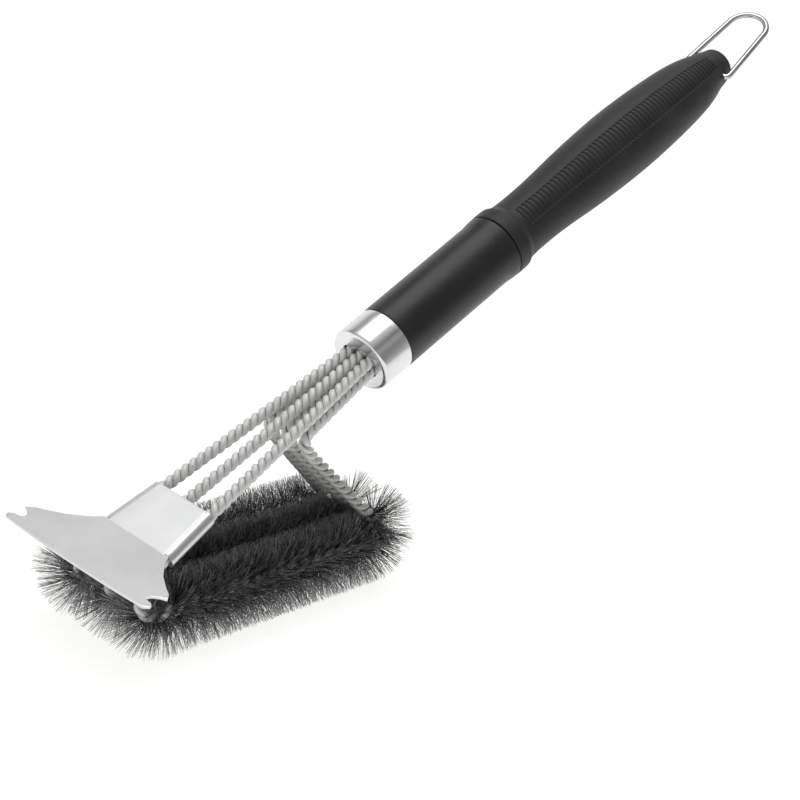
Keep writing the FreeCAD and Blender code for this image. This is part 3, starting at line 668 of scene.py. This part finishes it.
GRIP_STATIONS = np.array([
    # position, radius, drop
    (108.7, 15.40, 0.0), (115.0, 15.05, 0.0), (122.0, 15.0, 0.0), (132.0, 15.2, 0.05),
    (144.0, 15.9, 0.2), (156.0, 16.8, 0.4), (168.0, 17.5, 0.6), (180.5, 18.0, 0.8),
    (194.0, 18.3, 1.0), (207.0, 18.15, 1.3), (220.0, 17.7, 1.6), (232.0, 17.0, 1.9),
    (244.0, 16.0, 2.2), (252.0, 15.0, 2.5), (260.0, 13.6, 2.9), (265.0, 12.35, 3.1),
    (269.5, 11.1, 3.3), (275.0, 9.65, 3.6), (279.0, 8.6, 3.8)])


def smooth_stations(x):
    """Radius and drop of the grip at x, by cubic pieces through the stations."""
    at = GRIP_STATIONS[:, 0]
    out = []
    for column in (1, 2):
        y = GRIP_STATIONS[:, column]
        slope = np.gradient(y, at)
        i = np.clip(np.searchsorted(at, x) - 1, 0, len(at) - 2)
        h = at[i + 1] - at[i]
        t = np.clip((x - at[i]) / h, 0, 1)
        out.append((2 * t ** 3 - 3 * t ** 2 + 1) * y[i] + (t ** 3 - 2 * t ** 2 + t) * h * slope[i]
                   + (-2 * t ** 3 + 3 * t ** 2) * y[i + 1] + (t ** 3 - t ** 2) * h * slope[i + 1])
    return out


NO_NARROWING = 99.0
# half width of the tail between its flattened sides: positions, half widths
TAIL_NARROWING = ((254.0, 260.0, 264.0, 267.5, 271.0), (14.7, 13.35, 12.2, 11.15, 10.5))
RIB_START, RIB_END = 111.5, 266.0
RIB_PITCH = 2.7
RIB_CENTRE = math.radians(29.5)
RIB_HALF_ANGLE = math.radians(20.0)
RIB_DEPTH = 0.55
BAND_DEPTH = 0.03  # the ribs' crowns lie this far under the grip's surface


def grip_profile():
    """Positions, radii and drops of the grip's rings, from the collar to the rounded end."""
    head = [(97.35, 15.0), (97.35, 16.6)] + corner_arc(97.8, 16.65, 0.45, 180, 90, 5)
    head += [(x, 17.1) for x in (99.0, 101.0, 103.0)]
    head += [(104.2, 17.08), (105.0, 16.95), (106.0, 16.55), (107.2, 15.95), (108.2, 15.55)]
    tail_x = np.arange(109.0, 276.6, RIB_PITCH / 9)
    radius, drop = smooth_stations(tail_x)
    end_x, end_r = 276.5, float(smooth_stations(np.array([276.5]))[0][0])
    closing = [(end_x + 2.5 * math.sin(a), end_r - 2.6 * (1 - math.cos(a)))
               for a in np.radians(np.linspace(12, 90, 9))]
    closing += [(279.1, 4.0), (279.15, 0.2)]
    xs = np.concatenate([[p[0] for p in head], tail_x, [p[0] for p in closing]])
    rs = np.concatenate([[p[1] for p in head], radius, [p[1] for p in closing]])
    drops = np.interp(xs, tail_x, drop)
    drops[:len(head)] = 0
    return xs, rs, drops


def rib_depth(x, off):
    """How far the ribbed band lies under the grip's surface, at x and the angle off its middle."""
    inside = 1 - smoothstep(RIB_HALF_ANGLE - 0.018, RIB_HALF_ANGLE + 0.008, off)
    inside = inside * smoothstep(RIB_START - 0.2, RIB_START + 0.2, x)
    inside = inside * (1 - smoothstep(RIB_END - 0.2, RIB_END + 0.2, x))
    phase = (x - RIB_START) / RIB_PITCH % 1.0
    groove = smoothstep(0.10, 0.24, phase) * (1 - smoothstep(0.50, 0.64, phase))
    return inside * (BAND_DEPTH + RIB_DEPTH * (1 - groove))


def make_grip():
    """Collar, neck, palm swell and dropped tail, with a band of cross ribs along one side."""
    xs, rs, drops = grip_profile()
    fine = np.linspace(-8.5, 8.5, 57) / 17.0
    coarse = np.linspace(fine[-1], TAU + fine[0], 66)[1:-1]
    angles = np.concatenate([fine, coarse]) - RIB_CENTRE
    x_grid = xs[:, None]
    off = np.abs(np.angle(np.exp(1j * (angles + RIB_CENTRE))))[None, :]
    r_grid = np.maximum(rs[:, None] - rib_depth(x_grid, off), 0.1)
    tail_half = np.interp(x_grid, *TAIL_NARROWING, left=NO_NARROWING)
    squeeze = np.minimum(1.0, tail_half / rs[:, None])
    across = r_grid * np.sin(angles)[None] * squeeze
    points = np.stack([np.broadcast_to(x_grid, r_grid.shape).ravel(), across.ravel(),
                       (r_grid * np.cos(angles)[None] - drops[:, None]).ravel()], axis=1)
    faces = grid_faces(len(xs), len(angles), closed=True)
    piece = make_object("grip_moulding", from_handle(points), faces, GRIP)
    edge_by_angle(piece, 38)
    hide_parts("grip")


LOOP_PIVOT = (269.0, -1.2)  # along the handle and above its axis
LOOP_SWING = math.radians(8.0)
LOOP_RADIUS = 1.45


def make_loop():
    """Bent wire loop, pins turned in, legs drawing together towards the bow."""
    pin_end, pivot, bow = (0, 4.5, 0), (0, 12.9, 0), (44.9, 9.9, 0)
    near_side = [(pin_end, 0), (pivot, 2.0), (bow, 10.4)]
    far_side = [((x, -y, z), radius) for (x, y, z), radius in near_side[::-1]]
    flat, _ = resample(rounded_path(near_side + far_side, 0.5), 0.5)
    c, s = math.cos(LOOP_SWING), math.sin(LOOP_SWING)
    line = np.stack([LOOP_PIVOT[0] + flat[:, 0] * c, flat[:, 1],
                     LOOP_PIVOT[1] + flat[:, 0] * s], axis=1)
    normal = np.tile([[-s, 0.0, c]], (len(line), 1))
    body, faces = tube(line, normal, LOOP_RADIUS, 20)
    piece = make_object("loop_wire", from_handle(body), faces, LOOP, body="loop")
    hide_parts("hanging_loop")


# ---------------------------------------------------------------- scraper

BEND_LINE = CLAMP_REAR - CLAMP_LENGTH
SHEET_THICK = 0.9
MID_RADIUS = 3.05 + SHEET_THICK / 2  # of the middle of the sheet, rolled round an outer wire
BLADE_LENGTH, EDGE_HALF, EDGE_SETBACK = 38.3, 41.6, 1.5
BLADE_BEND = math.radians(24.4)
BEND_RADIUS = 5.0
BLADE_SIDE = np.array([
    # distance from the bend line, half width
    (0.0, 19.6), (3.8, 21.8), (7.4, 24.5), (13.2, 29.9), (18.2, 36.6), (20.9, 40.9),
    (22.6, 42.3), (24.4, 43.6)])
NOTCH_SIDE = np.array([
    (24.9, 42.2), (26.0, 40.6), (27.4, 39.0), (28.8, 38.1), (30.2, 37.8), (31.2, 38.1),
    (31.7, 39.2), (31.9, 40.8), (32.5, 42.4), (33.3, 43.3), (34.3, 43.7), (35.3, 43.4),
    (36.2, 42.6)])


def blade_height(ahead):
    """Position along and above the clamp's plane of a point so far ahead of the bend line."""
    reach = BEND_RADIUS * math.tan(BLADE_BEND / 2)
    arc = BEND_RADIUS * BLADE_BEND
    ahead = np.asarray(ahead, float)
    u = np.clip(ahead + reach, 0, arc) / BEND_RADIUS
    x = np.minimum(ahead, -reach) + BEND_RADIUS * np.sin(u)
    z = BEND_RADIUS * (1 - np.cos(u))
    beyond = np.maximum(ahead + reach - arc, 0)
    return x + beyond * math.cos(BLADE_BEND), z + beyond * math.sin(BLADE_BEND)


def span_at(ahead):
    """Outer wire's distance from the middle, so far ahead of the bend line."""
    widening = (CLAMP_FRONT_SPAN - CLAMP_REAR_SPAN) / CLAMP_LENGTH
    return CLAMP_FRONT_SPAN + widening * np.minimum(ahead, 0)


def make_scraper():
    """One sheet: rolled over the outer wires, flat across the top, bent up into the blade."""
    columns = 49
    u = np.linspace(-1, 1, columns)
    rows = []
    for ahead in (*np.linspace(-CLAMP_LENGTH, -3.0, 10), *np.linspace(-2.6, -0.02, 8)):
        rows.append((np.full(columns, ahead), u * span_at(ahead)))
    sides = np.concatenate([BLADE_SIDE, NOTCH_SIDE])
    fine = np.sort(np.concatenate([np.linspace(0.0, 3.6, 9), sides[1:, 0]]))
    fine = fine[np.concatenate([[True], np.diff(fine) > 0.05])]
    for ahead in fine:
        rows.append((np.full(columns, ahead), u * np.interp(ahead, sides[:, 0], sides[:, 1])))
    rows.append((BLADE_LENGTH - EDGE_SETBACK * np.abs(u) ** 2.2, u * EDGE_HALF))
    x, z = blade_height(np.array([row[0] for row in rows]))
    width = np.array([row[1] for row in rows])
    top = CLAMP_HEIGHT + MID_RADIUS
    plate = np.stack([BEND_LINE - x, width, top + z], axis=-1).reshape(-1, 3)
    parts = [(plate, grid_faces(len(rows), columns))]
    lip_angle = np.linspace(0, math.pi, 17)
    for side in (-1, 1):
        rolled = []
        for ahead in np.linspace(-CLAMP_LENGTH, -0.5, 12):
            span = float(span_at(ahead))
            for a in lip_angle:
                rolled.append((BEND_LINE - ahead, side * (span + MID_RADIUS * math.sin(a)),
                               CLAMP_HEIGHT + MID_RADIUS * math.cos(a)))
            for inward in (1.5, 3.0, 4.4):
                rolled.append((BEND_LINE - ahead, side * (span - inward),
                               CLAMP_HEIGHT - MID_RADIUS + 0.12 * inward))
        faces = grid_faces(12, len(lip_angle) + 3)
        parts.append((np.array(rolled), faces if side > 0 else faces[:, ::-1]))
    points, faces = join(parts)
    piece = make_object("scraper_sheet", from_handle(points), faces, SHEET)
    weld = piece.modifiers.new("weld", "WELD")
    weld.merge_threshold = 0.02 * MM
    thick = piece.modifiers.new("thickness", "SOLIDIFY")
    thick.thickness = SHEET_THICK * MM
    thick.offset = 0.0
    thick.use_even_offset = False
    bevel = piece.modifiers.new("edges", "BEVEL")
    bevel.width = 0.16 * MM
    bevel.segments = 2
    bevel.limit_method = "ANGLE"
    bevel.angle_limit = math.radians(50)
    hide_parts("scraper")


# ---------------------------------------------------------------- studio

CAMERA_PLACE = (-0.780, -0.587, 0.517)
CAMERA_RIGHT, CAMERA_UP = (0.6185, -0.7499, 0.2347), (0.1664, 0.4169, 0.8936)
CAMERA_LENS, SENSOR_WIDTH = 108.0, 36.0
FLOOR_HALF, FLOOR_HEIGHT = 6000.0, -0.3


def make_camera():
    right, up = Vector(CAMERA_RIGHT), Vector(CAMERA_UP)
    back = right.cross(up).normalized()
    up = back.cross(right).normalized()
    data = bpy.data.cameras.new("camera")
    data.lens = CAMERA_LENS
    data.sensor_width = SENSOR_WIDTH
    data.clip_end = 20.0
    camera = bpy.data.objects.new("camera", data)
    turn = Matrix((right, up, back)).transposed()
    camera.matrix_world = Matrix.Translation(CAMERA_PLACE) @ turn.to_4x4()
    bpy.context.scene.collection.objects.link(camera)
    bpy.context.scene.camera = camera


def make_light(name, place, target, size, energy):
    data = bpy.data.lights.new(name, "AREA")
    data.shape = "RECTANGLE"
    data.size, data.size_y = size
    data.energy = energy
    light = bpy.data.objects.new(name, data)
    light.location = place
    light.rotation_euler = (Vector(target) - Vector(place)).to_track_quat("-Z", "Y").to_euler()
    bpy.context.scene.collection.objects.link(light)


SURROUND = (
    # angle in degrees, brightness
    (-130, 0.60), (-100, 0.42), (-84, 0.26), (-70, 0.22), (-54, 0.40), (-40, 0.13),
    (-26, 0.50), (0, 0.60), (44, 0.60), (56, 0.14), (70, 0.62), (82, 0.95), (130, 1.0))


def make_world():
    """Soft surround with darker strips beside the overhead box, as flags make them.

    The shade goes by the angle about the handle's axis: 0 is over the handle, +90 to the right.
    """
    world = bpy.data.worlds.new("studio")
    bpy.context.scene.world = world
    world.use_nodes = True
    tree = world.node_tree
    place = add(tree, "ShaderNodeTexCoord")
    turn = add(tree, "ShaderNodeMapping")
    turn.inputs["Rotation"].default_value = HANDLE_TURN
    parts = add(tree, "ShaderNodeSeparateXYZ")
    tree.links.new(place.outputs["Generated"], turn.inputs["Vector"])
    tree.links.new(turn.outputs["Vector"], parts.inputs["Vector"])
    angle = add(tree, "ShaderNodeMath", operation="ARCTAN2")
    tree.links.new(parts.outputs["Y"], angle.inputs[0])
    tree.links.new(parts.outputs["Z"], angle.inputs[1])
    blend = add(tree, "ShaderNodeValToRGB")
    stops = blend.color_ramp
    places = np.interp([a for a, _ in SURROUND], (-180, 180), (0, 1))
    while len(stops.elements) < len(SURROUND):
        stops.elements.new(0.5)
    for stop, at, (_, level) in zip(stops.elements, places, SURROUND):
        stop.position = float(at)
        stop.color = (level, level, level, 1)
    tree.links.new(ramp(tree, angle.outputs["Value"], -math.pi, math.pi, 0.0, 1.0),
                   blend.inputs["Fac"])
    tree.links.new(blend.outputs["Color"], tree.nodes["Background"].inputs["Color"])


def make_floor():
    """A wide pale floor just under the brush."""
    corners = [(x * FLOOR_HALF * MM, y * FLOOR_HALF * MM, FLOOR_HEIGHT * MM)
               for x, y in ((-1, -1), (1, -1), (1, 1), (-1, 1))]
    mesh = bpy.data.meshes.new("floor")
    mesh.from_pydata(corners, [], [(0, 1, 2, 3)])
    mesh.materials.append(floor_material())
    floor = bpy.data.objects.new("floor", mesh)
    bpy.context.scene.collection.objects.link(floor)


make_camera()
make_floor()
make_world()
make_light("top_box", (0.15, 0.285, 1.3), (0.15, 0.285, 0.0), (1.4, 0.91), 7.2)
bpy.context.scene.view_settings.view_transform = "Standard"

for row, number in SIDES.items():
    make_wire(f"twisted_{row}", number)
    make_bristles(f"bristles_{row}", number)
make_ferrule()
make_sleeve()
make_grip()
make_loop()
make_scraper()

for node, look in (("wire_anchor", PLUG), ("core_tube", LOOP)):
    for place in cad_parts[node].material_slots:
        place.material = look
